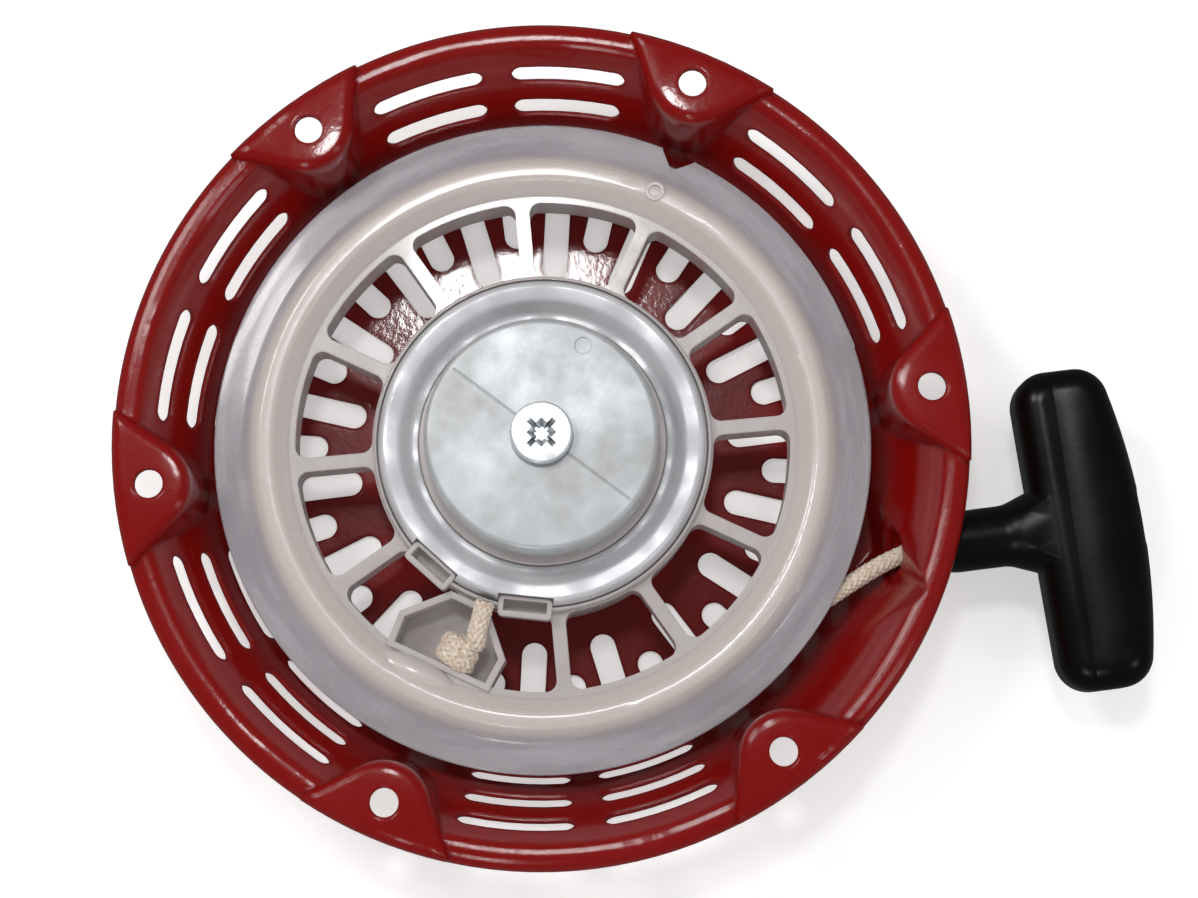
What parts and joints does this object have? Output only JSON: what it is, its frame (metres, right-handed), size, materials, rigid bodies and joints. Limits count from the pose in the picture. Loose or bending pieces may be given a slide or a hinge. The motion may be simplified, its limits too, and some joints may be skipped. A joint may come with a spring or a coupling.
{
  "type": "recoil starter",
  "caption": "Pull-rope recoil starter: vented pressed-steel case, spoked rope reel with spiral spring, ratchets under a guide cup, braided rope and T-shaped grip.",
  "frame": {"origin": "centre of the mounting bolt circle, on the faces of the bosses that bolt to the engine", "axes": "+Z along the reel's axis towards the engine, out of the open side of the case; +X through the centre of one mounting hole, and the way the rope is pulled"},
  "size_m": [0.2715, 0.2276, 0.0513],
  "materials": {
    "case_paint": "glossy red enamel over pressed steel",
    "reel_nylon": "natural moulded nylon, slightly see-through",
    "bright_steel": "bright pressed steel",
    "guide_zinc": "dull grey zinc plate",
    "bright_zinc": "bright blue zinc plate",
    "plated_steel": "zinc plate",
    "post_steel": "turned steel",
    "ratchet_steel": "hardened steel",
    "spring_steel": "blued spring steel",
    "starter_rope": "braided cream nylon cord",
    "grip_plastic": "glossy black"
  },
  "bodies": {
    "case": {"starter_case": "case_paint", "reel_shaft": "post_steel", "set_screw": "bright_zinc", "thrust_washer": "plated_steel", "rope_feed_run": "starter_rope"},
    "reel_body": {"reel": "reel_nylon", "hub_liner": "bright_steel", "recoil_spring": "spring_steel", "rope_coil": "starter_rope", "rope_knot_reel": "starter_rope", "ratchet_spring_1": "spring_steel", "ratchet_spring_2": "spring_steel"},
    "guide_body": {"ratchet_guide": "guide_zinc", "friction_spring": "spring_steel"},
    "ratchet_1_body": {"ratchet_1": "ratchet_steel"},
    "ratchet_2_body": {"ratchet_2": "ratchet_steel"},
    "grip_body": {"grip": "grip_plastic", "grip_reinforcement": "plated_steel", "rope_knot_grip": "starter_rope", "rope_pull_run": "starter_rope"}
  },
  "joints": [
    {"name": "rope_pull", "type": "slide", "parent": "case", "child": "grip_body", "axis": [1, 0, 0], "range_m": [0, 1.25], "deforming": ["rope_pull_run"]},
    {"name": "reel_spin", "type": "hinge", "parent": "case", "child": "reel_body", "pos_m": [0, 0, -0.025], "axis": [0, 0, 1], "range_deg": [0, 955], "deforming": ["recoil_spring"]},
    {"name": "guide_lag", "type": "hinge", "parent": "reel_body", "child": "guide_body", "pos_m": [0, 0, 0], "axis": [0, 0, 1], "range_deg": [-20, 0]},
    {"name": "ratchet_1_swing", "type": "hinge", "parent": "reel_body", "child": "ratchet_1_body", "pos_m": [-0.01942, -0.01033, -0.0108], "axis": [0, 0, 1], "range_deg": [-20, 0], "deforming": ["ratchet_spring_1"]},
    {"name": "ratchet_2_swing", "type": "hinge", "parent": "reel_body", "child": "ratchet_2_body", "pos_m": [0.01942, 0.01033, -0.0108], "axis": [0, 0, 1], "range_deg": [-20, 0], "deforming": ["ratchet_spring_2"]}
  ],
  "couplings": [
    {"joint": "reel_spin", "follows": "rope_pull", "rad_per_m": 13.28},
    {"joint": "ratchet_1_swing", "follows": "guide_lag", "ratio": 1},
    {"joint": "ratchet_2_swing", "follows": "guide_lag", "ratio": 1}
  ]
}
